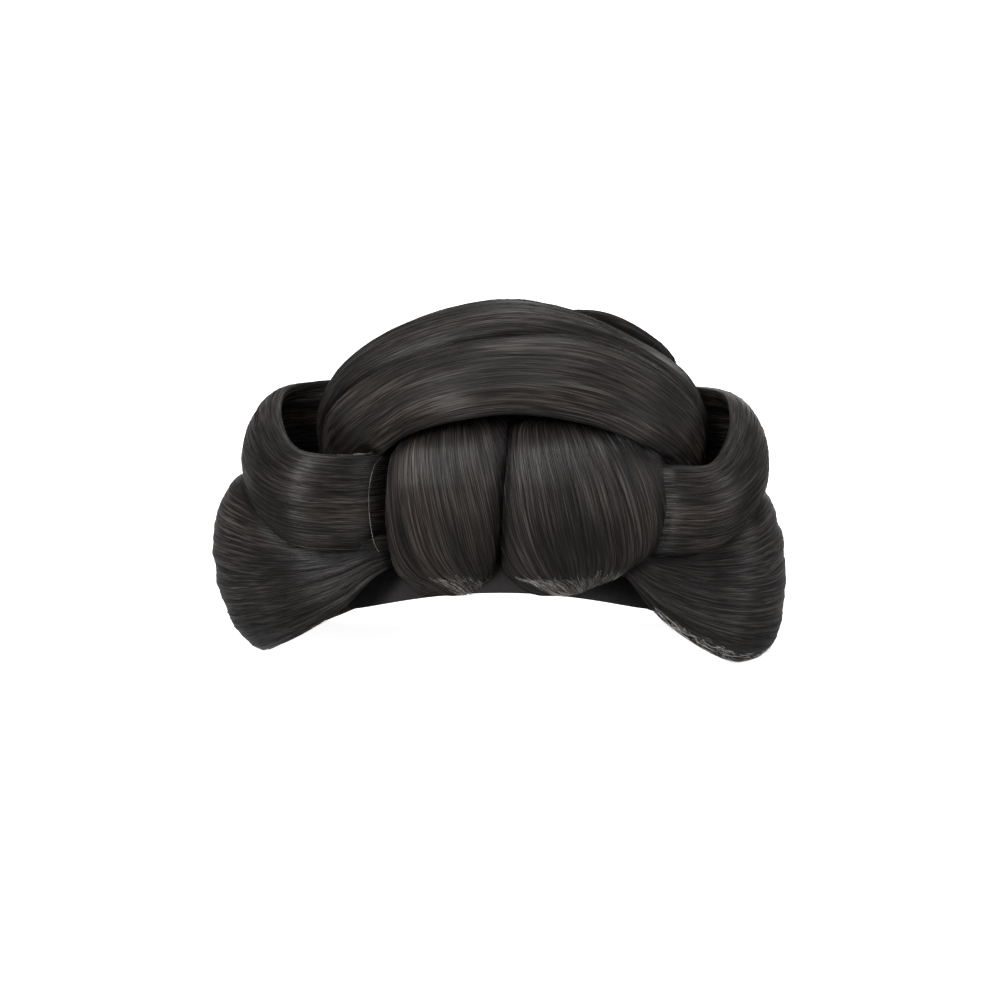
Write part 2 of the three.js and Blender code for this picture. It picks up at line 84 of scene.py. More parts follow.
# The cap's grid, its sewn rows and where its rim band starts, and the steps and sides of the comb's rods
CAP_COLUMNS, CAP_ROWS, CAP_WEFTS, CAP_BAND = 160, 60, 13, 0.9
SPINE_STEPS, SPINE_SIDES, TOOTH_STEPS, TOOTH_SIDES = 17, 14, 12, 10

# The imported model's place: the cap is centred across, and the left bun's front is where the source puts it
cap_low, cap_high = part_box("cap")
bun_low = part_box("bun_left")[0]
SHIFT = np.array([
    (cap_low.x + cap_high.x) / 2 / MM,
    bun_low.y / MM - (HEAD_BACK - BUN_DEPTH),
    0.0,
])

# Sections of the buns: height, how far the left and the right one reach, their side at the parting, and how
# deep their front and rear lie
BUN_ROWS = np.array([
    (0.0, 0.6, 0.44, 0.22, 0.74, 0.52),
    (0.03, 0.74, 0.58, 0.12, 0.86, 0.4),
    (0.1, 0.85, 0.74, 0.04, 0.94, 0.28),
    (0.24, 0.94, 0.93, -0.01, 0.99, 0.2),
    (0.44, 0.99, 1.01, -0.05, 1.0, 0.18),
    (0.64, 1.0, 0.99, -0.05, 0.95, 0.18),
    (0.82, 0.96, 0.92, -0.04, 0.84, 0.2),
    (0.95, 0.84, 0.78, 0.02, 0.68, 0.24),
    (1.0, 0.66, 0.6, 0.16, 0.55, 0.32),
])

# Sections of the rolls: low edge out, deep and up, high edge out, deep and up, swell, thickness
FRONT_ROLL = np.array([
    (0.0, -1.0, 0.125, 0.0, -0.22, 0.64, 0.1, 1.0),
    (0.26, -1.0, 0.07, 0.26, -0.22, 0.62, 0.1, 1.0),
    (0.48, -0.93, -0.06, 0.48, -0.2, 0.53, 0.1, 0.97),
    (0.65, -0.86, -0.26, 0.67, -0.14, 0.38, 0.1, 0.9),
    (0.79, -0.7, -0.47, 0.83, -0.06, 0.17, 0.08, 0.8),
    (0.88, -0.48, -0.67, 0.94, 0.02, -0.06, 0.05, 0.66),
    (0.93, -0.33, -0.78, 0.98, 0.06, -0.36, 0.0, 0.5),
])
CROWN_ROLL = np.array([
    (0.0, -0.17, 0.6, 0.0, 0.68, 0.71, 0.15, 1.0),
    (0.29, -0.17, 0.52, 0.29, 0.7, 0.63, 0.15, 1.0),
    (0.49, -0.14, 0.39, 0.49, 0.72, 0.5, 0.15, 1.0),
    (0.67, -0.1, 0.23, 0.67, 0.72, 0.34, 0.12, 1.0),
    (0.82, -0.04, 0.03, 0.82, 0.7, 0.12, 0.1, 0.95),
    (0.92, 0.0, -0.2, 0.92, 0.62, -0.16, 0.05, 0.8),
    (0.96, 0.05, -0.56, 0.95, 0.5, -0.54, 0.0, 0.55),
])
BACK_ROLL = np.array([
    (0.0, 1.02, -0.2, 0.0, 0.6, 0.79, 0.3, 1.0),
    (0.27, 1.0, -0.2, 0.3, 0.6, 0.785, 0.3, 1.0),
    (0.48, 0.96, -0.24, 0.51, 0.6, 0.715, 0.28, 1.0),
    (0.67, 0.88, -0.34, 0.7, 0.6, 0.55, 0.24, 0.95),
    (0.81, 0.78, -0.49, 0.87, 0.58, 0.31, 0.18, 0.85),
    (0.88, 0.66, -0.68, 0.95, 0.52, -0.03, 0.1, 0.7),
    (0.91, 0.56, -0.84, 0.96, 0.44, -0.46, 0.0, 0.5),
])

# Sections of the loops: low edge out and deep, high edge out and deep, lift, rise, belly
LOOP_ROWS = np.array([
    (0.3, -0.3, 0.3, -0.22, -0.45, 0.0, 0.0),
    (0.46, -0.76, 0.46, -0.66, -0.2, 0.0, 0.15),
    (0.62, -0.97, 0.61, -0.88, 0.0, 0.0, 0.3),
    (0.78, -0.88, 0.75, -0.8, 0.15, 0.06, 0.55),
    (0.87, -0.46, 0.82, -0.4, 0.55, 0.3, 0.9),
    (0.9, 0.05, 0.855, 0.06, 0.9, 0.72, 1.0),
    (0.86, 0.4, 0.84, 0.38, 1.0, 1.0, 1.0),
    (0.73, 0.68, 0.72, 0.66, 0.9, 1.0, 0.65),
    (0.55, 0.86, 0.55, 0.83, 0.7, 0.93, 0.35),
    (0.3, 0.97, 0.3, 0.94, 0.5, 0.8, 0.15),
    (-0.02, 1.0, -0.02, 0.97, 0.4, 0.7, 0.05),
])
# How far each section's upper edge is rolled over into the loop, where across the band, and how wide
LOOP_CURL = np.array([0, 0, 0.4, 1.5, 3.5, 5.0, 6.0, 6.0, 5.0, 2.0, 0])
CURL_PLACE, CURL_WIDTH = 0.92, 0.16
# The height at which the upper edges of both loops meet, at the middle of the back
LOOP_MEET = 107.0
# Each loop: side, reach, front rim, rear rim, front foot, foot at the bend, lift of the rim beside the bun
LEFT_LOOP = (-1, 111.0, 96.5, 114.0, 56.0, 71.0, 0.0)
RIGHT_LOOP = (1, 116.5, 90.0, 112.0, 54.5, 73.0, 2.5)

# Sections of the wings: low edge out and deep, high edge out and deep, foot, rise, belly
WING_BACK = [
    (0.5, 0.9, 0.5, 0.78, 0.13, 0.5, 0.25),
    (0.27, 0.98, 0.27, 0.86, 0.25, 0.3, 0.12),
    (-0.02, 1.0, -0.02, 0.88, 0.3, 0.2, 0.06),
]
LEFT_WING = np.array([
    (0.26, -0.5, 0.26, -0.42, 1.0, 0.0, 0.0),
    (0.4, -0.92, 0.39, -0.8, 1.0, 0.05, 0.1),
    (0.53, -1.0, 0.53, -0.75, 0.68, 0.15, 0.25),
    (0.67, -0.85, 0.68, -0.55, 0.4, 0.3, 0.45),
    (0.77, -0.3, 0.82, -0.28, 0.17, 0.75, 0.68),
    (0.82, 0.16, 0.88, 0.05, 0.0, 1.08, 0.95),
    (0.8, 0.48, 0.85, 0.36, -0.03, 1.08, 0.85),
    (0.69, 0.74, 0.7, 0.62, -0.02, 0.8, 0.55),
    *WING_BACK,
])
RIGHT_WING = np.array([
    (0.26, -0.5, 0.26, -0.42, 1.0, 0.0, 0.0),
    (0.4, -0.92, 0.39, -0.8, 1.0, 0.05, 0.1),
    (0.53, -0.95, 0.53, -0.75, 0.6, 0.15, 0.22),
    (0.69, -0.82, 0.68, -0.55, 0.25, 0.3, 0.4),
    (0.81, -0.5, 0.82, -0.28, 0.05, 0.7, 0.65),
    (0.885, -0.05, 0.85, 0.05, -0.03, 1.0, 0.82),
    (0.84, 0.42, 0.83, 0.36, -0.03, 1.0, 0.82),
    (0.72, 0.72, 0.7, 0.62, -0.02, 0.8, 0.5),
    *WING_BACK,
])

# The loose strand that bows over the gap beside the left bun
LOOSE_ARC = [
    (-49.5, -35.5, 98.0),
    (-52.3, -36.0, 94.9),
    (-54.6, -35.6, 87.0),
    (-55.3, -34.8, 79.6),
    (-54.8, -34.0, 69.0),
    (-53.1, -33.0, 59.2),
    (-51.0, -32.0, 55.0),
]
ARC_RADIUS = 0.045

# Combed relief, each as ribs, clumps and strands: width across and height
ROLL_RELIEF = ((9, 0.0), (4.5, 0.35), (1.1, 0.13))
WING_RELIEF = ((8.0, 1.1), (3.4, 0.4), (1.1, 0.14))
BUN_RELIEF = ((11, 0.0), (3.6, 0.3), (1.1, 0.15))
# How far a rib, a clump and a strand keep their course
RIB_RUN, CLUMP_RUN, STRAND_RUN = 90, 55, 26
# Finer clumps and strands on top: shares of the coarser ones' width and height, and how far they run
FINER_CLUMPS, FINER_STRANDS = (0.5, 0.45, 34), (0.62, 0.6, 15)

# Painted shade where locks lie against each other: strength and reach. Painted shade between strands, and the
# most of any
CLOSE_PAINTED_SHADE, NEAR_PAINTED_SHADE = (0.88, 2.4), (0.45, 11)
VALLEY_PAINTED_SHADE, MOST_PAINTED_SHADE = 0.2, 0.92
# A skin sinks in towards a neighbour that is nearer than this; the rolls sink more than the rest
SINK_REACH, ROLL_SINK = 3.2, 2.2

# Single hairs: columns, start and length as shares of the skin, then lift and radius
OUTER_FACE = (0.0, 0.56)
LAID_HAIRS = {
    "columns": (0.0, 1.0), "start": (0.02, 0.85), "long": (0.08, 0.34), "lift": (0.1, 0.32),
    "radius": (0.07, 0.13),
}
LOOSE_HAIRS = {
    "columns": (0.02, 0.48), "start": (0.1, 0.6), "long": (0.12, 0.4), "lift": (0.7, 2.2),
    "radius": (0.05, 0.075), "swing": 0.03,
}
UNDER_FRIZZ = {
    "columns": (0.0, 0.26), "start": (0.14, 0.32), "bias": 1.4, "long": (-0.09, -0.035), "lift": (0.3, 1.2),
    "radius": (0.03, 0.06), "swing": 0.006, "tucked": False, "margin": 8,
}
MIDDLE_FRIZZ = {**UNDER_FRIZZ, "columns": (0.36, 0.56)}
SIDE_FRIZZ = {**UNDER_FRIZZ, "columns": (0.2, 0.36), "start": (0.17, 0.35)}
RIM_HAIRS = {
    "columns": (0.495, 0.5), "start": (0.1, 0.14), "long": (0.18, 0.24), "lift": (0.25, 0.45),
    "radius": (0.12, 0.16), "swing": 0.002,
}
HEM_HAIRS = {
    "columns": (0.012, 0.06), "start": (0.2, 0.5), "long": (0.008, 0.035), "lift": (0.3, 0.8),
    "radius": (0.045, 0.1), "swing": 0.012, "tucked": False,
}

# Hair colours: the dark, middle and light strands, and the roughness
HAIR_TONES = {
    "dark_brown_hair": ((0.0045, 0.0038, 0.0037), (0.0127, 0.0107, 0.0102), (0.0495, 0.0426, 0.0396), 0.38),
    # A darker copy of the brown hair; on the back roll it is painted shade
    "darker_hair": ((0.0039, 0.0033, 0.0033), (0.0107, 0.0091, 0.0088), (0.0415, 0.0358, 0.0342), 0.4),
    # Pale hair as a painted highlight: frizz lit from below and behind, the loop's rim and the loose strand
    "painted_highlight_hair": ((0.24, 0.23, 0.22), (0.42, 0.4, 0.385), (0.66, 0.64, 0.62), 0.55),
    # White hair as painted reflection on the hair ends that touch the floor
    "painted_glint_hair": ((0.4, 0.39, 0.38), (0.62, 0.61, 0.6), (0.85, 0.84, 0.83), 0.55),
}
# The near black tone mixed in as painted shade
PAINTED_SHADE_TONE = (0.0024, 0.0021, 0.0021)
# Layers of the streaks: cells a metre along and across the strands, and their weight in the whole
FINE_STREAKS, MEDIUM_STREAKS, GRAIN_STREAKS = (48, 1850, 0.5), (28, 760, 0.27), (130, 2800, 0.23)
STREAK_STOPS = (0.4, 0.49, 0.61)
# Cells a metre of the strands' sway, the light and dark patches and the tints, and the sway's width in metres
SWAY_CELLS, PATCH_CELLS, TINT_CELLS, SWAY_WIDTH = (14, 60), (30, 48), (7, 70), 0.004
TINT_STOPS, TINTS = (0.35, 0.5, 0.66), ((0.84, 0.85, 0.85), (1, 1, 1), (1.24, 1.17, 1.07))


# Camera, lights and floor

def set_camera():
    """The camera at the photograph's angle, aimed so that the piece sits where it does there."""
    aim = Vector((np.array(VIEW_AIM) + SHIFT) * MM)
    data = bpy.data.cameras.new("camera")
    data.lens = VIEW_LENS
    camera = bpy.data.objects.new("camera", data)
    bpy.context.scene.collection.objects.link(camera)
    away = Vector((0, -math.cos(VIEW_RISE), math.sin(VIEW_RISE)))
    camera.location = aim + away * VIEW_DISTANCE
    camera.rotation_euler = (-away).to_track_quat("-Z", "Y").to_euler()
    bpy.context.scene.camera = camera


def add_light(name, place, size, power):
    """A square soft light at a place in metres, turned to the piece."""
    data = bpy.data.lights.new(name, "AREA")
    data.shape = "SQUARE"
    data.size = size
    data.energy = power
    light = bpy.data.objects.new(name, data)
    bpy.context.scene.collection.objects.link(light)
    light.location = place
    target = Vector((0, 0, 0.08))
    light.rotation_euler = (target - light.location).to_track_quat("-Z", "Y").to_euler()


def set_studio():
    """A pale floor and sky, with soft lights around. The floor throws no light back on the hair."""
    world = bpy.data.worlds.new("studio")
    world.use_nodes = True
    sky = world.node_tree.nodes["Background"]
    sky.inputs["Color"].default_value = (1, 1, 1, 1)
    sky.inputs["Strength"].default_value = SKY_STRENGTH
    bpy.context.scene.world = world
    bpy.context.scene.view_settings.view_transform = "Standard"
    for name, settings in LIGHTS.items():
        add_light(name, *settings)
    bpy.ops.mesh.primitive_circle_add(vertices=128, radius=9, fill_type="NGON", location=(0, 0, -0.0003))
    floor = bpy.context.object
    floor.name = "floor"
    floor.visible_diffuse = False
    floor.visible_glossy = False
    bpy.ops.object.transform_apply(location=True, rotation=False, scale=False)
    return floor


# Curves, noise and skins

def curve_at(knots, shares):
    """Points of a centripetal Catmull-Rom curve through the knots, at shares from 0 to 1."""
    knots = np.asarray(knots, float)
    whole = np.vstack([2 * knots[0] - knots[1], knots, 2 * knots[-1] - knots[-2]])
    place = shares * (len(knots) - 1)
    index = np.minimum(place.astype(int), len(knots) - 2)
    weight = (place - index)[:, None]
    a, b, c, d = (whole[index + k] for k in range(4))

    def span(p, q):
        return np.sqrt(np.linalg.norm(q - p, axis=1, keepdims=True))

    before, here, after = span(a, b), span(b, c), span(c, d)
    here = np.where(here < 1e-4, 1.0, here)
    before = np.where(before < 1e-4, here, before)
    after = np.where(after < 1e-4, here, after)
    start = ((b - a) / before - (c - a) / (before + here) + (c - b) / here) * here
    end = ((c - b) / here - (d - b) / (here + after) + (d - c) / after) * here
    cube = 2 * b - 2 * c + start + end
    square = -3 * b + 3 * c - 2 * start - end
    return b + weight * (start + weight * (square + weight * cube))


def unit(vectors):
    """Vectors of the same directions, one long."""
    return vectors / np.maximum(np.linalg.norm(vectors, axis=-1, keepdims=True), 1e-12)


class Grain:
    """Smooth random values over a skin, stretched along the strands, that close up around it."""

    def __init__(self, long_cells, wide_cells):
        self.values = chance.uniform(-1, 1, (long_cells + 4, max(wide_cells, 4)))
        self.long_cells = long_cells

    def at(self, along, across):
        """along and across are shares of the skin's length and of its way round."""
        rows, columns = self.values.shape
        x = np.clip(along, 0, 1) * self.long_cells + 1
        y = across * columns
        i, j = np.floor(x).astype(int), np.floor(y).astype(int)
        fx, fy = x - i, y - j
        total = 0
        for k, wx in enumerate(self.weights(fx)):
            row = np.clip(i - 1 + k, 0, rows - 1)
            for m, wy in enumerate(self.weights(fy)):
                total = total + wx * wy * self.values[row, (j - 1 + m) % columns]
        return total * 1.6

    @staticmethod
    def weights(f):
        return ((1 - f) ** 3 / 6, (3 * f ** 3 - 6 * f ** 2 + 4) / 6,
                (-3 * f ** 3 + 3 * f ** 2 + 3 * f + 1) / 6, f ** 3 / 6)


def even_steps(line, count):
    """Each row of points, spread evenly along itself into count steps."""
    gaps = np.linalg.norm(np.diff(line, axis=1), axis=2)
    way = np.concatenate([np.zeros((len(line), 1)), np.cumsum(gaps, axis=1)], axis=1)
    out = np.empty((len(line), count + 1, 3))
    shares = np.linspace(0, 1, count + 1)
    for r in range(len(line)):
        for k in range(3):
            out[r, :, k] = np.interp(shares * way[r, -1], way[r], line[r, :, k])
    return out


def band_skin(low, high, belly, thick, squareness, facing, rows, half_columns, curl=None):
    """The rings of a band lofted through sections, evenly spaced on its outer and on its inner face.

    curl is how far the high edge is rolled over to the inside, one value for each section.
    """
    shares = np.linspace(0, 1, rows + 1)
    lows, highs = curve_at(low, shares), curve_at(high, shares)
    body = curve_at(np.stack([belly, thick], 1), shares)
    along = unit(unit(np.gradient(lows, axis=0)) + unit(np.gradient(highs, axis=0)))
    across = highs - lows
    half_span = np.linalg.norm(across, axis=1)[:, None] / 2
    across = unit(across)
    outward = unit(np.cross(across, along)) * facing
    turn = np.linspace(0, math.pi, 400)[None, :]
    c, s = np.cos(turn), np.sin(turn)
    bulge, depth = body[:, :1], np.maximum(body[:, 1:], 0.2)
    slope = np.stack([-bulge * c, half_span * s], -1)
    slope = unit(slope + np.array([0, 1e-9]))
    half = depth / 2 * (1 - np.abs(c) ** squareness) ** (1 / squareness)
    hem = 0
    if curl is not None:
        rolled = np.interp(shares, np.linspace(0, 1, len(low)), curl)[:, None]
        near_edge = np.exp(-(((1 - c) / 2 - CURL_PLACE) / CURL_WIDTH) ** 2)
        hem = rolled * near_edge * np.minimum(1, 1.6 * half / depth)
    faces = []
    for sign, extra in ((1, 0), (-1, hem)):
        shift_across = half_span * (1 - c) + sign * slope[..., 0] * (half + extra)
        shift_out = bulge * s + sign * slope[..., 1] * (half + extra)
        faces.append(lows[:, None] + across[:, None] * shift_across[..., None]
                     + outward[:, None] * shift_out[..., None])
    outer = even_steps(faces[0], half_columns)
    inner = even_steps(faces[1][:, ::-1], half_columns)
    return np.concatenate([outer[:, :-1], inner[:, :-1]], axis=1)


def round_ends(rings, steps, reach):
    """Adds rings that round both ends of a band off, down to the middle line between its faces."""
    mate = (-np.arange(rings.shape[1])) % rings.shape[1]
    added = []
    for end, inside in ((rings[0], rings[1]), (rings[-1], rings[-2])):
        middle = (end + end[mate]) / 2
        away = unit((end - inside).mean(axis=0))
        angles = np.linspace(0, math.pi / 2, steps + 1)[1:]
        added.append([middle + (end - middle) * math.cos(a) + away * reach * math.sin(a) for a in angles])
    return np.concatenate([np.array(added[0][::-1]), rings, np.array(added[1])])


def close_poles(rings, steps, drop):
    """Adds rings that draw the first and the last ring in to a point, drop away from their plane."""
    added = []
    for end, way in ((rings[0], -1), (rings[-1], 1)):
        middle = end.mean(axis=0)
        ring_set = []
        for k in range(1, steps + 1):
            share = k / steps
            moved = middle + (end - middle) * (1 - share)
            moved[:, 2] += way * drop * math.sin(share * math.pi / 2)
            ring_set.append(moved)
        added.append(ring_set)
    return np.concatenate([np.array(added[0][::-1]), rings, np.array(added[1])])


def outward_normals(rings):
    """Unit normals that point out of a skin whose rings close up."""
    around = np.roll(rings, -1, axis=1) - np.roll(rings, 1, axis=1)
    normal = unit(np.cross(np.gradient(rings, axis=0), around))
    middle = rings.mean(axis=1, keepdims=True)
    facing = np.einsum("ijk,ijk->", rings - middle, normal)
    return normal if facing > 0 else -normal


def lengths_of(rings):
    """How long the skin is, and how far round its widest ring, in millimetres."""
    middle = rings.mean(axis=1)
    long = np.linalg.norm(np.diff(middle, axis=0), axis=1).sum()
    around = np.linalg.norm(np.roll(rings, -1, axis=1) - rings, axis=2).sum(axis=1).max()
    return long, around


def comb_relief(rings, ribs, clumps, strands):
    """How high locks, clumps and strands rise out of a skin. Each is a pair: width across and height."""
    long, around = lengths_of(rings)
    rows, columns = rings.shape[:2]
    along, across = np.meshgrid(np.linspace(0, 1, rows), np.arange(columns) / columns, indexing="ij")
    wander = Grain(max(int(long / 45), 3), max(int(around / 22), 4))
    across = across + wander.at(along, across) * 1.6 / around

    def waves(width, run):
        return Grain(max(int(long / run), 2), int(around / width)).at(along, across)

    height = np.zeros_like(along)
    for (width, tall), run in ((ribs, RIB_RUN), (clumps, CLUMP_RUN)):
        if tall > 0:
            value = waves(width, run)
            height += tall * (0.55 - np.abs(value) ** 0.8 * 1.4 + 0.25 * value)
    height += strands[1] * waves(strands[0], STRAND_RUN) * 0.8
    for (width, tall), (narrower, lower, run) in ((clumps, FINER_CLUMPS), (strands, FINER_STRANDS)):
        height += tall * lower * waves(width * narrower, run)
    return height


def tree_of(rings):
    """A search tree over every third point of a skin."""
    points = rings[:, ::3].reshape(-1, 3)
    tree = KDTree(len(points))
    for i, point in enumerate(points):
        tree.insert(point, i)
    tree.balance()
    return tree


def gaps_to(rings, trees):
    """How far each point of a skin is from the nearest of the locks that lie against it."""
    gap = np.array([min(tree.find(point)[2] for tree in trees) for point in rings.reshape(-1, 3)])
    return gap.reshape(rings.shape[:2])


def painted_shade(height, gap):
    """Painted shade: how much darker each point is painted, between strands and close to the locks that lie
    against it.
    """
    valley = np.clip((height.mean() - height) / height.std(), 0, 2) * VALLEY_PAINTED_SHADE
    beside = sum(strength * np.exp(-(gap / reach) ** 2) for strength, reach in (CLOSE_PAINTED_SHADE, NEAR_PAINTED_SHADE))
    return np.clip(np.maximum(valley, beside), 0, MOST_PAINTED_SHADE)


def select_only(piece):
    """Makes a piece the active one, and the only one selected."""
    bpy.ops.object.select_all(action="DESELECT")
    bpy.context.view_layer.objects.active = piece
    piece.select_set(True)


def smooth_active(merge=0):
    """Turns the active piece's faces outward and smooths them, after merging points within a distance."""
    bpy.ops.object.mode_set(mode="EDIT")
    bpy.ops.mesh.select_all(action="SELECT")
    if merge:
        bpy.ops.mesh.remove_doubles(threshold=merge)
    bpy.ops.mesh.normals_make_consistent(inside=False)
    bpy.ops.object.mode_set(mode="OBJECT")
    bpy.ops.object.shade_smooth()


def skin_object(name, rings, seed, dark=None, meets=False):
    """A closed skin made from a grid primitive: its columns go round the band and its rows along it.

    seed moves its map, so that no two skins show the same streaks. dark is the painted shade of each point. A
    skin that meets its mirrored fellow at its last ring has its map measured there.
    """
    rows, columns = rings.shape[0] - 1, rings.shape[1]
    bpy.ops.object.select_all(action="DESELECT")
    bpy.ops.mesh.primitive_grid_add(x_subdivisions=columns, y_subdivisions=rows, size=1)
    piece = bpy.context.object
    piece.name = name
    mesh = piece.data
    flat = np.empty(len(mesh.vertices) * 3)
    mesh.vertices.foreach_get("co", flat)
    flat = flat.reshape(-1, 3)
    column = np.rint((flat[:, 0] + 0.5) * columns).astype(int)
    row = np.rint((flat[:, 1] + 0.5) * rows).astype(int)
    placed = (rings[row, column % columns] + SHIFT) * MM
    mesh.vertices.foreach_set("co", placed.ravel())
    long, around = lengths_of(rings)
    if meets:
        around = np.linalg.norm(np.roll(rings[-1], -1, axis=0) - rings[-1], axis=1).sum()
    # Painted shade, kept on the points for the hair material to darken its colour
    if dark is not None:
        shade = mesh.attributes.new("dark", "FLOAT", "POINT")
        shade.data.foreach_set("value", dark[row, column % columns].astype(np.float32))
    corner = np.empty(len(mesh.loops), int)
    mesh.loops.foreach_get("vertex_index", corner)
    uv = np.stack([(row[corner] / rows - 1) * long, column[corner] / columns * around], 1) * MM + seed
    mesh.uv_layers[0].data.foreach_set("uv", uv.ravel())
    mesh.uv_layers[0].name = "UVMap"
    smooth_active(merge=2e-6)
    return piece


def ellipsoid(name, centre, half, segments=96, rings=64):
    """A smooth egg at a place in the piece, with its poles at the top and bottom."""
    bpy.ops.object.select_all(action="DESELECT")
    bpy.ops.mesh.primitive_uv_sphere_add(segments=segments, ring_count=rings, radius=1)
    egg = bpy.context.object
    egg.name = name
    egg.data.transform(Matrix.Diagonal((half[0] * MM, half[1] * MM, half[2] * MM, 1)))
    egg.data.transform(Matrix.Translation(Vector((np.array(centre) + SHIFT) * MM)))
    return egg


def carve(piece, cutter):
    """Takes the cutter's inside out of a piece."""
    select_only(piece)
    cut = piece.modifiers.new("cut", "BOOLEAN")
    cut.operation = "DIFFERENCE"
    cut.solver = "MANIFOLD"
    cut.object = cutter
    bpy.ops.object.modifier_apply(modifier=cut.name)


# Threads: thin closed tubes for the single hairs that stand out

def thread_object(name, paths, sides_up, radius, seed, sides=3):
    """One mesh of thin tubes. paths is one row of points for each hair, and radius one value for each point.

    sides_up are directions that the first side of each tube faces, and seed moves the map.
    """
    count, steps, _ = paths.shape
    ahead = unit(np.gradient(paths, axis=1))
    out = unit(sides_up - ahead * (sides_up * ahead).sum(-1, keepdims=True))
    beside = np.cross(ahead, out)
    angles = np.arange(sides) * 2 * math.pi / sides
    spoke = (out[:, :, None] * np.cos(angles)[:, None] + beside[:, :, None] * np.sin(angles)[:, None])
    points = paths[:, :, None] + spoke * radius[..., None, None]
    points = ((points + SHIFT) * MM).reshape(-1, 3)
    base = (np.arange(count)[:, None, None] * steps + np.arange(steps - 1)[:, None]) * sides
    a = base + np.arange(sides)
    b = base + (np.arange(sides) + 1) % sides
    quads = np.stack([a, b, b + sides, a + sides], -1).reshape(-1, 4)
    first = np.arange(count)[:, None] * steps * sides + np.arange(sides)[::-1]
    last = first[:, ::-1] + (steps - 1) * sides
    mesh = bpy.data.meshes.new(name)
    faces = [list(map(int, q)) for q in quads] + [list(map(int, f)) for f in np.vstack([first, last])]
    mesh.from_pydata(points.tolist(), [], faces)
    thread = bpy.data.objects.new(name, mesh)
    bpy.context.scene.collection.objects.link(thread)
    layer = mesh.uv_layers.new(name="UVMap")
    corner = np.empty(len(mesh.loops), int)
    mesh.loops.foreach_get("vertex_index", corner)
    strand = corner // (steps * sides)
    step = (corner // sides) % steps
    shade = chance.uniform(0, 0.3, count)
    uv = np.stack([step * 2 * MM + shade[strand] * 3, shade[strand]], 1) + seed
    layer.data.foreach_set("uv", uv.ravel())
    select_only(thread)
    smooth_active()
    return thread


def sample(field, row, column):
    """Values of a skin's field between its points; columns go round."""
    rows, columns = field.shape[:2]
    row = np.clip(row, 0, rows - 1.001)
    i, j = np.floor(row).astype(int), np.floor(column).astype(int)
    fi, fj = (row - i)[..., None], (column - j)[..., None]
    j0, j1 = j % columns, (j + 1) % columns
    near = field[i, j0] * (1 - fj) + field[i, j1] * fj
    far = field[i + 1, j0] * (1 - fj) + field[i + 1, j1] * fj
    return near * (1 - fi) + far * fi


def lay_threads(name, rings, normal, count, where, seed, steps=11):
    """Hairs that lie along a skin.

    where gives ranges: columns, start and length as shares, lift and radius. It may also say how starts are
    biased to the low end, how far hairs swing across, whether their tips are tucked in, and the least row.
    """
    rows, columns = rings.shape[:2]
    share = np.linspace(0, 1, steps)

    def pick(key):
        return chance.uniform(*where[key], (count, 1))

    low, high = where["start"]
    start = low + (high - low) * chance.uniform(0, 1, (count, 1)) ** where.get("bias", 1)
    row = np.clip((start + pick("long") * share) * rows, where.get("margin", 2), rows - 3)
    swing = chance.uniform(-1, 1, (count, 1)) * where.get("swing", 0.01) * columns
    column = pick("columns") * columns + swing * np.sin(share * 3.1 + chance.uniform(0, 6.3, (count, 1)))
    rise = np.sin(np.pi * share) ** 0.7 if where.get("tucked", True) else share ** 1.3
    out = sample(normal, row, column)
    paths = sample(rings, row, column) + out * (pick("lift") * rise - 0.1)[..., None]
    tail = np.sin(np.pi * np.clip(share, 0.03, 0.97)) ** 0.4
    if not where.get("tucked", True):
        tail = np.minimum(1, 0.25 + 2.5 * share) * (1 - 0.7 * share)
    return thread_object(name, paths, out, pick("radius") * tail, seed)


def join(piece, others):
    """Makes one mesh of a piece and others, under the piece's name."""
    select_only(piece)
    for other in others:
        other.select_set(True)
    bpy.ops.object.join()
    return piece


# Materials

def new_material(name):
    """A material, its nodes and links, and its shader."""
    material = bpy.data.materials.new(name)
    material.use_nodes = True
    nodes = material.node_tree.nodes
    return material, nodes, material.node_tree.links, nodes["Principled BSDF"]


def noise(nodes, links, vector, scale, detail=2.0, roughness=0.5):
    """Cloudy values from 0 to 1."""
    node = nodes.new("ShaderNodeTexNoise")
    node.inputs["Scale"].default_value = scale
    node.inputs["Detail"].default_value = detail
    node.inputs["Roughness"].default_value = roughness
    links.new(vector, node.inputs["Vector"])
    return node.outputs["Fac"]


def stretched(nodes, links, vector, along, across):
    """A map scaled by one factor along the strands and by another across them."""
    node = nodes.new("ShaderNodeMapping")
    node.inputs["Scale"].default_value = (along, across, 1)
    links.new(vector, node.inputs["Vector"])
    return node.outputs["Vector"]


def math_node(nodes, links, kind, first, second):
    """The result of one sum on numbers or other nodes' results."""
    node = nodes.new("ShaderNodeMath")
    node.operation = kind
    for socket, value in zip(node.inputs, (first, second)):
        if isinstance(value, (int, float)):
            socket.default_value = value
        else:
            links.new(value, socket)
    return node.outputs[0]


def ramp(nodes, links, value, stops):
    """Colours looked up by a value. Each stop is a place from 0 to 1 and a colour."""
    node = nodes.new("ShaderNodeValToRGB")
    elements = node.color_ramp.elements
    stops = list(stops)
    while len(elements) < len(stops):
        elements.new(0.5)
    for element, (place, color) in zip(elements, stops):
        element.position = place
        element.color = (*color, 1)
    links.new(value, node.inputs["Fac"])
    return node.outputs["Color"]


def mix_color(nodes, links, share, first, second, blend="MIX"):
    """Two colours mixed, or blended in another way, by a share."""
    node = nodes.new("ShaderNodeMix")
    node.data_type = "RGBA"
    node.blend_type = blend
    for socket, value in ((node.inputs[0], share), (node.inputs[6], first), (node.inputs[7], second)):
        if isinstance(value, (int, float)):
            socket.default_value = value
        elif isinstance(value, tuple):
            socket.default_value = (*value, 1)
        else:
            links.new(value, socket)
    return node.outputs[2]


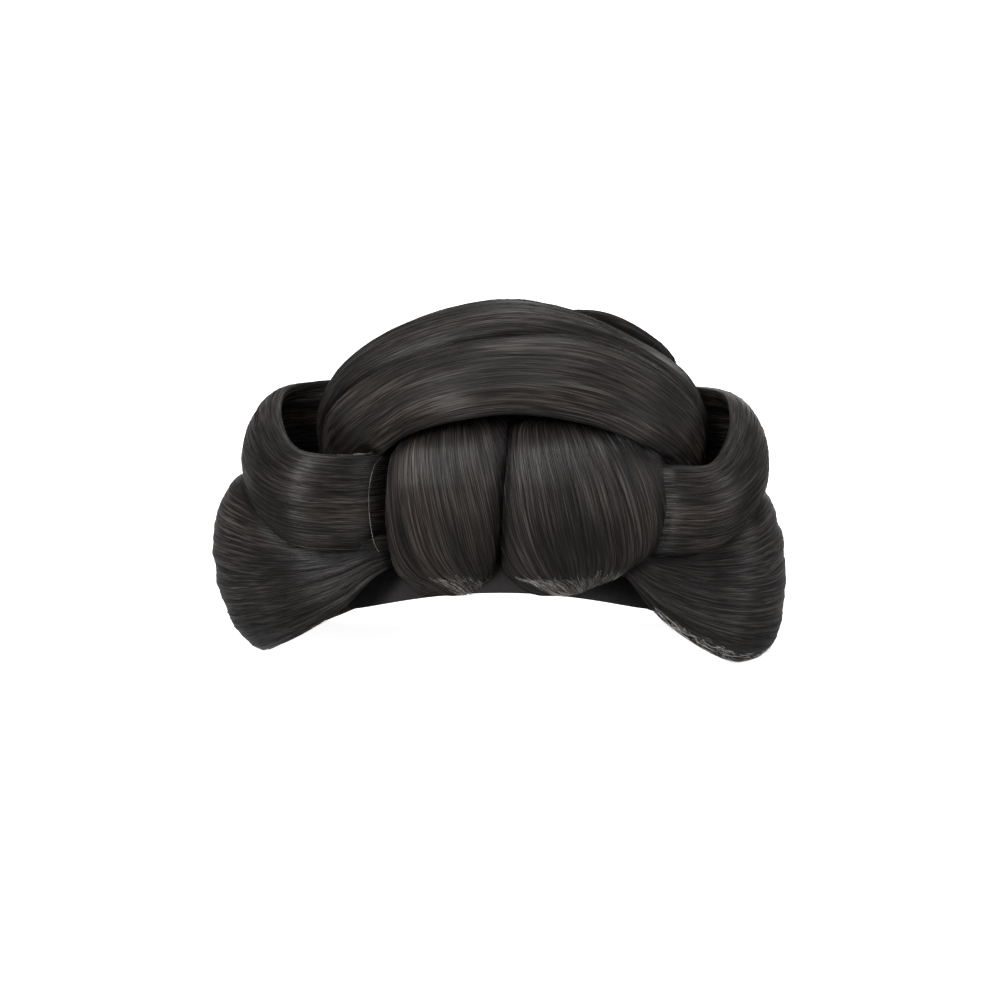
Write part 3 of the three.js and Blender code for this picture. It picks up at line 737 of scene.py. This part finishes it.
def add_bump(nodes, links, shader, height, strength, distance):
    """Gives the shader relief from a height, distance metres tall."""
    bump = nodes.new("ShaderNodeBump")
    bump.inputs["Strength"].default_value = strength
    bump.inputs["Distance"].default_value = distance
    links.new(height, bump.inputs["Height"])
    links.new(bump.outputs[0], shader.inputs["Normal"])
    return bump


def hair_material(name, dark, mid, light, rough):
    """Brushed hair: streaks of colour, roughness and relief along the strands' own map.

    Painted shade kept on the skin darkens it between the strands and where locks lie against each other.
    """
    material, nodes, links, shader = new_material(name)
    uv = nodes.new("ShaderNodeUVMap")
    uv.uv_map = "UVMap"
    base = uv.outputs["UV"]
    sway = noise(nodes, links, stretched(nodes, links, base, *SWAY_CELLS), 1.0, 1.0)
    sway = math_node(nodes, links, "MULTIPLY", math_node(nodes, links, "SUBTRACT", sway, 0.5), SWAY_WIDTH)
    bent = nodes.new("ShaderNodeCombineXYZ")
    links.new(sway, bent.inputs["Y"])
    shift = nodes.new("ShaderNodeVectorMath")
    shift.operation = "ADD"
    links.new(base, shift.inputs[0])
    links.new(bent.outputs[0], shift.inputs[1])
    flow = shift.outputs[0]
    fine = noise(nodes, links, stretched(nodes, links, flow, *FINE_STREAKS[:2]), 1.0, 1.0, 0.6)
    medium = noise(nodes, links, stretched(nodes, links, flow, *MEDIUM_STREAKS[:2]), 1.0, 1.0)
    grain = noise(nodes, links, stretched(nodes, links, flow, *GRAIN_STREAKS[:2]), 1.0, 0.0)
    patch = noise(nodes, links, stretched(nodes, links, base, *PATCH_CELLS), 1.0, 1.0)
    broad = noise(nodes, links, stretched(nodes, links, flow, *TINT_CELLS), 1.0, 1.0)
    fine, medium, grain = (
        math_node(nodes, links, "MULTIPLY", layer, streaks[2])
        for layer, streaks in ((fine, FINE_STREAKS), (medium, MEDIUM_STREAKS), (grain, GRAIN_STREAKS)))
    streak = math_node(nodes, links, "ADD", math_node(nodes, links, "ADD", fine, medium), grain)
    color = ramp(nodes, links, streak, zip(STREAK_STOPS, (dark, mid, light)))
    tint = ramp(nodes, links, broad, zip(TINT_STOPS, TINTS))
    color = mix_color(nodes, links, 1.0, color, tint, "MULTIPLY")
    cloud = ramp(nodes, links, patch, [(0.34, (0.5, 0.5, 0.5)), (0.66, (1.6, 1.6, 1.6))])
    color = mix_color(nodes, links, 1.0, color, cloud, "MULTIPLY")
    # Painted shade: the skin's attribute mixes its colour towards a near black tone
    shade = nodes.new("ShaderNodeAttribute")
    shade.attribute_name = "dark"
    color = mix_color(nodes, links, shade.outputs["Fac"], color, PAINTED_SHADE_TONE)
    links.new(color, shader.inputs["Base Color"])
    gloss = nodes.new("ShaderNodeMapRange")
    gloss.inputs["From Min"].default_value = 0.3
    gloss.inputs["From Max"].default_value = 0.7
    gloss.inputs["To Min"].default_value = rough + 0.1
    gloss.inputs["To Max"].default_value = rough - 0.08
    links.new(streak, gloss.inputs["Value"])
    links.new(gloss.outputs[0], shader.inputs["Roughness"])
    add_bump(nodes, links, shader, streak, 1.0, 0.0006)
    tangent = nodes.new("ShaderNodeTangent")
    tangent.direction_type = "UV_MAP"
    tangent.uv_map = "UVMap"
    links.new(tangent.outputs[0], shader.inputs["Tangent"])
    shader.inputs["Anisotropic"].default_value = 0.7
    shader.inputs["Anisotropic Rotation"].default_value = 0.25
    shader.inputs["Specular IOR Level"].default_value = 0.19
    return material


def net_material():
    """Matt knitted net, in diamonds about 2 mm across."""
    material, nodes, links, shader = new_material("wig_net")
    uv = nodes.new("ShaderNodeUVMap")
    uv.uv_map = "UVMap"
    parts = nodes.new("ShaderNodeSeparateXYZ")
    links.new(uv.outputs["UV"], parts.inputs[0])
    cells = []
    for sign in (1, -1):
        slope = math_node(nodes, links, "ADD", parts.outputs["X"],
                          math_node(nodes, links, "MULTIPLY", parts.outputs["Y"], sign))
        wave = math_node(nodes, links, "SINE", math_node(nodes, links, "MULTIPLY", slope, 3600), 0)
        cells.append(math_node(nodes, links, "ABSOLUTE", wave, 0))
    mesh_lines = math_node(nodes, links, "MINIMUM", cells[0], cells[1])
    coords = nodes.new("ShaderNodeTexCoord").outputs["Object"]
    wear = noise(nodes, links, coords, 120, 3.0)
    tone = math_node(nodes, links, "ADD", math_node(nodes, links, "MULTIPLY", mesh_lines, 0.5),
                     math_node(nodes, links, "MULTIPLY", wear, 0.5))
    color = ramp(nodes, links, tone, [(0.2, (0.03, 0.027, 0.026)), (0.5, (0.017, 0.015, 0.015)),
                                      (0.8, (0.006, 0.0055, 0.0055))])
    links.new(color, shader.inputs["Base Color"])
    add_bump(nodes, links, shader, mesh_lines, 0.7, 0.0006).invert = True
    shader.inputs["Roughness"].default_value = 0.85
    return material


def comb_material():
    """Moulded dark plastic with faint rub marks."""
    material, nodes, links, shader = new_material("comb_plastic")
    coords = nodes.new("ShaderNodeTexCoord").outputs["Object"]
    marks = noise(nodes, links, coords, 900, 4.0)
    color = ramp(nodes, links, marks, [(0.3, (0.012, 0.011, 0.011)), (0.7, (0.022, 0.02, 0.019))])
    links.new(color, shader.inputs["Base Color"])
    gloss = nodes.new("ShaderNodeMapRange")
    gloss.inputs["To Min"].default_value = 0.25
    gloss.inputs["To Max"].default_value = 0.5
    links.new(marks, gloss.inputs["Value"])
    links.new(gloss.outputs[0], shader.inputs["Roughness"])
    add_bump(nodes, links, shader, marks, 0.15, 0.0002)
    return material


def floor_material():
    """A pale matt floor, lit from itself so that it stays as light as the backdrop."""
    material, nodes, links, shader = new_material("pale_floor")
    coords = nodes.new("ShaderNodeTexCoord").outputs["Object"]
    grain = noise(nodes, links, coords, 8, 2.0)
    color = ramp(nodes, links, grain, [(0.3, (0.93, 0.93, 0.93)), (0.7, (0.95, 0.95, 0.95))])
    links.new(color, shader.inputs["Base Color"])
    shader.inputs["Roughness"].default_value = 0.9
    shader.inputs["Specular IOR Level"].default_value = 0.1
    shader.inputs["Emission Color"].default_value = (1, 1, 1, 1)
    shader.inputs["Emission Strength"].default_value = 0.9
    return material


# The pieces

def finish(piece, node, material):
    """Gives a piece its finish, hangs it under the root body, and hides the imported part that it stands in
    for, if any.
    """
    piece.data.materials.clear()
    piece.data.materials.append(material)
    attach(piece, "root")
    if node:
        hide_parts(node)


def roll_rings(table, thick, skew, rows, half_columns, tuck=0.0, drop=0.0):
    """The rings of an arched roll, skewed up on its right half and down on its left.

    tuck is how far the left foot of its lip is drawn in, as a share of the reach. drop is how far the upper
    edge of its right half is lowered.
    """
    low_out, low_deep, low_up, high_out, high_deep, high_up, swell, full = table.T

    def half(side):
        lift = side * skew * 4 * high_out * (1 - high_out)
        drawn = 0
        if side > 0:
            fade = np.clip((high_out - 0.18) / 0.35, 0, 1) * np.clip((0.97 - high_out) / 0.3, 0, 1)
            lift = lift - drop * fade
        else:
            drawn = np.clip((low_out - 0.4) / 0.25, 0, 1) * tuck
        low = np.stack([CREST_X + side * ROLL_REACH * (low_out - drawn),
                        HEAD_BACK + ROLL_DEPTH * (low_deep + 2.4 * drawn),
                        BUN_TOP + ROLL_RISE * low_up], 1)
        high = np.stack([CREST_X + side * ROLL_REACH * high_out,
                         HEAD_BACK + ROLL_DEPTH * high_deep,
                         BUN_TOP + ROLL_RISE * high_up + lift], 1)
        return low, high

    low, high = (np.vstack([left[::-1], right[1:]]) for left, right in zip(half(-1), half(1)))
    belly, depth = (thick * np.concatenate([values[::-1], values[1:]]) for values in (swell, full))
    return round_ends(band_skin(low, high, belly, depth, 2.3, -1, rows, half_columns), 5, 5.0)


def depth_of(share, front, rear):
    """How deep a point lies: a share below 0 is of the front's depth, one above 0 of the rear's."""
    return np.where(share < 0, share * front, share * rear)


def loop_rings(loop, rows, half_columns):
    """The rings of a hollow loop, from beside the bun out and round to the middle of the back."""
    side, reach, front_rim, rear_rim, front_foot, bend_foot, lift = loop
    low_out, low_deep, high_out, high_deep, raised, risen, swell = LOOP_ROWS.T
    foot = front_foot + (bend_foot - front_foot) * raised
    top = front_rim + (rear_rim - front_rim) * risen
    top[:3] += lift
    top[-1] = LOOP_MEET
    low = np.stack([side * reach * low_out, depth_of(low_deep, LOOP_FRONT, LOOP_REAR), foot], 1)
    high = np.stack([side * reach * high_out, depth_of(high_deep, LOOP_FRONT, LOOP_REAR), top], 1)
    thick = np.full(len(top), HAIR_WALL)
    skin = band_skin(low, high, LOOP_BELLY * swell, thick, 6, -side, rows, half_columns, LOOP_CURL)
    return round_ends(skin, 4, 1.5)


def wing_rings(side, table, rows, half_columns):
    """The rings of a hollow wing, from its pinch beside the bun out and round to the middle of the back."""
    low_out, low_deep, high_out, high_deep, raised, risen, swell = table.T
    foot = WING_PINCH_FOOT * raised
    top = WING_PINCH_TOP + (WING_SHOULDER - WING_PINCH_TOP) * risen
    low = np.stack([side * WING_REACH * low_out, depth_of(low_deep, WING_FRONT, WING_REAR), foot], 1)
    high = np.stack([side * WING_REACH * high_out, depth_of(high_deep, WING_FRONT, WING_REAR), top], 1)
    thick = np.full(len(top), HAIR_WALL)
    return round_ends(band_skin(low, high, WING_BELLY * swell, thick, 6, -side, rows, half_columns), 4, 1.5)


def bun_rings(side, width, rows, columns, slant):
    """A bun's rings, turned on from each to the next so that its strands slant over the front."""
    up, left_reach, right_reach, inner, front, rear = BUN_ROWS.T
    parting = PARTING_FOOT + (PARTING_TOP - PARTING_FOOT) * up
    reach = left_reach if side < 0 else right_reach
    middle = HEAD_BACK - BUN_DEPTH * (front + rear) / 2
    z = BUN_FOOT + BUN_HEIGHT * up
    low = np.stack([parting + side * width * reach, middle, z], 1)
    high = np.stack([parting + side * width * inner, middle, z], 1)
    thick = BUN_DEPTH * (front - rear)
    rings = band_skin(low, high, np.zeros(len(z)), thick, 2.6, -side, rows, columns // 2)
    closed = np.concatenate([rings, rings[:, :1]], axis=1)
    even = even_steps(closed, columns)[:, :-1]
    shares = np.arange(columns)
    for r, ring in enumerate(even):
        around = np.linalg.norm(np.roll(ring, -1, axis=0) - ring, axis=1).sum()
        drop = (BUN_TOP - ring[0, 2]) / BUN_HEIGHT
        turn = -side * slant * drop ** 0.85 / around * columns
        for k in range(3):
            even[r, :, k] = np.interp((shares + turn) % columns, np.arange(columns + 1),
                                      np.append(ring[:, k], ring[0, k]))
    return close_poles(even, 7, 1.5)


def lift_off_floor(thread):
    """Raises every point that would lie in the floor."""
    points = np.empty(len(thread.data.vertices) * 3)
    thread.data.vertices.foreach_get("co", points)
    points = points.reshape(-1, 3)
    points[:, 2] = np.maximum(points[:, 2], 0.0001)
    thread.data.vertices.foreach_set("co", points.ravel())


def hair_piece(node, seed, relief, count, look, spread=None, carved=None,
               floor_cut=False, meets=False, sink=0.5):
    """The combed skin of one lock, with count single hairs laid along it.

    spread is the share of the columns that hairs are laid on, carved the body that is cut out of the skin,
    and sink how far the skin draws in beside its neighbours. A skin with floor_cut stays above the floor.
    Returns the combed rings and their normals.
    """
    name = node + "_hair"
    rings = skins[node]
    normal = outward_normals(rings)
    height = comb_relief(rings, *relief)
    gap = gaps_to(rings, [trees[other] for other in touching[node]])
    sunk = sink * np.exp(-(gap / SINK_REACH) ** 2)
    combed = rings + normal * (height - sunk)[..., None]
    if floor_cut:
        combed[..., 2] = np.maximum(combed[..., 2], 0.0)
    # The skin carries painted shade: darker between strands and beside the locks that lie against it
    piece = skin_object(name, combed, seed, painted_shade(height, gap), meets)
    if carved is not None:
        carve(piece, carved)
    laid = {**LAID_HAIRS, "columns": spread or LAID_HAIRS["columns"]}
    threads = lay_threads(name + "_threads", combed, normal, count, laid, seed)
    if floor_cut:
        lift_off_floor(threads)
    join(piece, [threads])
    finish(piece, node, look)
    return combed, normal


def cap_rings(columns, rows):
    """The cap's wall from its outer top down to the rim and back up inside."""
    turn = np.arange(columns) * 2 * math.pi / columns
    front = CAP_BACK - CAP_HALF_DEPTH * math.sqrt(1 - (CAP_FRONT_RIM / CAP_HEIGHT) ** 2)

    def egg(tilt, shrink):
        half = np.array([CAP_HALF_WIDTH, CAP_HALF_DEPTH, CAP_HEIGHT]) - shrink
        return np.stack([half[0] * np.sin(tilt) * np.cos(turn),
                         CAP_BACK + half[1] * np.sin(tilt) * np.sin(turn),
                         half[2] * np.cos(tilt)], -1)

    def above_rim(points):
        y, z = points[:, 1] - front, points[:, 2] - CAP_FRONT_RIM
        across = math.cos(CAP_RIM_FALL) * z + math.sin(CAP_RIM_FALL) * y + CAP_RIM_RADIUS
        return np.hypot(points[:, 0], across) > CAP_RIM_RADIUS

    # How far down each meridian the rim lies, on the outer and on the inner face, found by halving
    ends = []
    for shrink in (0, CAP_WALL):
        low, high = np.zeros(columns), np.full(columns, math.pi * 0.6)
        for _ in range(30):
            mid = (low + high) / 2
            above = above_rim(egg(mid, shrink))
            low, high = np.where(above, mid, low), np.where(above, high, mid)
        ends.append(low)
    shares = np.linspace(0, 1, rows)
    rings = [egg(ends[0] * s, 0) for s in shares]
    edge = [egg(ends[0] * (1 - k) + ends[1] * k, CAP_WALL * k) for k in (0.12, 0.5, 0.88)]
    rings += edge + [egg(ends[1] * s, CAP_WALL) for s in shares[::-1]]
    return np.array(rings)


def add_cap(look):
    """The net cap, with sewn rows around it and a band along the inside of its rim."""
    rings = cap_rings(CAP_COLUMNS, CAP_ROWS)
    normal = outward_normals(rings)
    normal[0] = (0, 0, 1)
    normal[-1] = (0, 0, -1)
    way_down = np.linspace(0, 1, CAP_ROWS)
    in_band = way_down > CAP_BAND
    ridge = 0.25 * np.clip(np.cos(way_down * 2 * math.pi * CAP_WEFTS), 0, 1)
    ridge[:3] = 0
    raised = np.zeros(len(rings))
    raised[:CAP_ROWS] = np.where(in_band, 0, np.minimum(ridge, 0.2))
    raised[-CAP_ROWS:] = np.where(in_band, 0.4, ridge)[::-1]
    piece = skin_object("cap_net", rings + normal * raised[:, None, None], 0.0)
    finish(piece, "cap", look)


def under_cap(x, lean, depth):
    """A point at a depth under the cap's inner face, leaning forward from the top by lean degrees."""
    rest = math.sqrt(1 - (x / (CAP_HALF_WIDTH - CAP_WALL - depth)) ** 2)
    angle = math.radians(lean)
    return (x, CAP_BACK - (CAP_HALF_DEPTH - CAP_WALL - depth) * rest * math.sin(angle),
            (CAP_HEIGHT - CAP_WALL - depth) * rest * math.cos(angle))


def add_comb(look):
    """The plain comb under the front of the cap: a rounded spine with a row of bent teeth."""
    depth = SEAT_GAP + SPINE_THICK / 2
    across = COMB_WIDTH * (np.arange(SPINE_STEPS) / (SPINE_STEPS - 1) - 0.5)
    spine = np.array([[under_cap(x, SPINE_LEAN, depth) for x in across]])
    ends = np.clip(np.sin(np.pi * np.linspace(0.0, 1, SPINE_STEPS)), 0.02, 1) ** 0.18
    up = np.zeros_like(spine)
    up[..., 2] = 1
    back = thread_object("comb_spine", spine, up, SPINE_THICK / 2 * ends[None], 0.0, SPINE_SIDES)
    gaps = int((COMB_WIDTH - TOOTH_THICK) / COMB_PITCH / 2)
    share = np.linspace(0, 1, TOOTH_STEPS)
    leans = SPINE_LEAN + (TOOTH_LEAN - SPINE_LEAN) * share
    places = COMB_PITCH * np.arange(-gaps, gaps + 1)
    teeth = np.array([[under_cap(x, lean, depth) for lean in leans] for x in places])
    taper = TOOTH_THICK / 2 * np.clip(1 - share ** 5 * 0.75, 0.1, 1)
    side = np.zeros_like(teeth)
    side[..., 0] = 1
    rods = thread_object("comb_teeth", teeth, side, np.repeat(taper[None], len(teeth), 0), 0.0, TOOTH_SIDES)
    piece = join(back, [rods])
    piece.name = "comb_plain"
    finish(piece, "comb", look)


def add_loose_hairs(look, locks):
    """Single dark hairs that have come loose from the locks."""
    strays = [lay_threads("loose_hairs", *lock, count=26, where=LOOSE_HAIRS, seed=8.0, steps=18)
              for lock in locks]
    piece = join(strays[0], strays[1:])
    piece.name = "loose_hairs"
    lift_off_floor(piece)
    finish(piece, None, look)


def add_highlit_frizz(look):
    """Frizz under the buns, hairs on the left loop's rim, and the strand beside the left bun, all pale as a
    painted highlight.
    """
    arc = curve_at(LOOSE_ARC, np.linspace(0, 1, 30))[None]
    facing = np.zeros_like(arc)
    facing[..., 1] = -1
    # All these hairs take the pale colour of painted highlight
    pale = [
        lay_threads("frizz", *left_bun, count=240, where=UNDER_FRIZZ, seed=9.0, steps=8),
        lay_threads("frizz", *right_bun, count=240, where=MIDDLE_FRIZZ, seed=9.1, steps=8),
        lay_threads("frizz", *right_bun, count=110, where=SIDE_FRIZZ, seed=9.1, steps=8),
        lay_threads("frizz", *loops[0], count=4, where=RIM_HAIRS, seed=9.3, steps=24),
        thread_object("loose_arc", arc, facing, np.full(arc.shape[:2], ARC_RADIUS), seed=8.3),
    ]
    piece = join(pale[0], pale[1:])
    piece.name = "highlit_frizz"
    lift_off_floor(piece)
    finish(piece, None, look)


def add_hem_fringe(look):
    """Hair ends along the hem of the right wing, white as a painted reflection of the floor they touch."""
    piece = lay_threads("hem_fringe", *wings[1], count=190, where=HEM_HAIRS, seed=9.2, steps=6)
    lift_off_floor(piece)
    finish(piece, None, look)


# The scene

set_camera()
floor = set_studio()
floor.data.materials.append(floor_material())

brown_hair, darker_hair, painted_highlight_hair, painted_glint_hair = (
    hair_material(name, *tones) for name, tones in HAIR_TONES.items())

cap_body = ellipsoid("cap_body", (0, CAP_BACK, 0),
                     (CAP_HALF_WIDTH + SEAT_GAP, CAP_HALF_DEPTH + SEAT_GAP, CAP_HEIGHT + SEAT_GAP))

skins = {
    "bun_left": bun_rings(-1, width=50.0, rows=95, columns=300, slant=24),
    "bun_right": bun_rings(1, width=71.0, rows=95, columns=380, slant=24),
    "front_roll": roll_rings(FRONT_ROLL, thick=17.0, skew=2.6, rows=110, half_columns=125, tuck=0.045),
    "crown_roll": roll_rings(CROWN_ROLL, thick=20.0, skew=0.0, rows=110, half_columns=125, drop=4.6),
    "back_roll": roll_rings(BACK_ROLL, thick=14.0, skew=3.0, rows=110, half_columns=110),
    "loop_left": loop_rings(LEFT_LOOP, rows=110, half_columns=125),
    "loop_right": loop_rings(RIGHT_LOOP, rows=110, half_columns=125),
    "wing_left": wing_rings(-1, LEFT_WING, rows=105, half_columns=170),
    "wing_right": wing_rings(1, RIGHT_WING, rows=105, half_columns=170),
}
trees = {name: tree_of(rings) for name, rings in skins.items()}
# The locks that lie against each one: a skin sinks in beside them and is painted darker there as shade
touching = {
    "bun_left": ("bun_right", "front_roll"),
    "bun_right": ("bun_left", "front_roll"),
    "front_roll": ("crown_roll", "bun_left", "bun_right", "loop_left", "loop_right"),
    "crown_roll": ("front_roll", "back_roll"),
    "back_roll": ("crown_roll", "loop_left", "loop_right"),
    "loop_left": ("wing_left", "bun_left", "front_roll"),
    "loop_right": ("wing_right", "bun_right", "front_roll"),
    "wing_left": ("loop_left", "bun_left"),
    "wing_right": ("loop_right", "bun_right"),
}

left_bun = hair_piece("bun_left", 0.1, BUN_RELIEF, 420, brown_hair, carved=cap_body)
right_bun = hair_piece("bun_right", 0.9, BUN_RELIEF, 500, brown_hair, carved=cap_body)
rolls = [
    hair_piece(node, seed, ROLL_RELIEF, count, look, sink=ROLL_SINK)
    for node, seed, count, look in (
        ("front_roll", 1.7, 460, brown_hair),
        ("crown_roll", 2.5, 420, brown_hair),
        # The back roll takes the darker copy of the hair as painted shade behind the crown roll
        ("back_roll", 3.3, 340, darker_hair),
    )
]
# Both sides draw the same numbers, so that their strands run on into each other at the back
loops = []
for node in ("loop_left", "loop_right"):
    chance = np.random.default_rng(7)
    loops.append(hair_piece(node, 4.1, ROLL_RELIEF, 380, brown_hair, OUTER_FACE, cap_body, meets=True))
wings = []
for node in ("wing_left", "wing_right"):
    chance = np.random.default_rng(23)
    wings.append(hair_piece(
        node, 5.7, WING_RELIEF, 480, darker_hair, OUTER_FACE, cap_body, floor_cut=True, meets=True))

add_loose_hairs(brown_hair, [*rolls, *loops, *wings])
# Frizz, rim hairs and the loose strand in a pale colour that is painted highlight
add_highlit_frizz(painted_highlight_hair)
# The hem's hair ends in white, a painted reflection
add_hem_fringe(painted_glint_hair)

padding = ellipsoid("crown_padding", PAD_CENTRE, PAD_HALF)
carve(padding, cap_body)
finish(padding, None, darker_hair)
select_only(padding)
bpy.ops.object.shade_smooth()
bpy.data.objects.remove(cap_body)

add_cap(net_material())
add_comb(comb_material())
